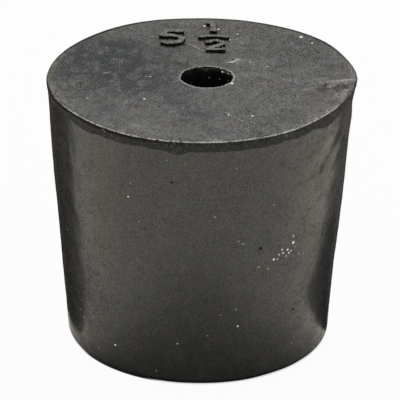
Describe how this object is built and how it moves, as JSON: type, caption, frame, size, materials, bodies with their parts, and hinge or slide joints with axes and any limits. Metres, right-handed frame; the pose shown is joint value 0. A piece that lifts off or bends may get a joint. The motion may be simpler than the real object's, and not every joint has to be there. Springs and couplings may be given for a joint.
{
  "type": "rubber stopper",
  "caption": "Black rubber stopper: a tapered plug with one straight hole through it, a trimmed land under its large end and a softly rounded small end.",
  "frame": {"origin": "centre of the small end's flat face, on the plug's axis, at the lowest point of the part", "axes": "+Z along the plug's axis, from the small end to the large end; +X towards the side that the hole is slightly off-centre to; +Y away from a viewer who reads the size number"},
  "size_m": [0.028, 0.028, 0.025],
  "materials": {
    "black_rubber": "satin moulded black rubber with a grey bloom, fine grain and dust specks"
  },
  "bodies": {
    "root": {"stopper": "black_rubber"}
  },
  "joints": []
}
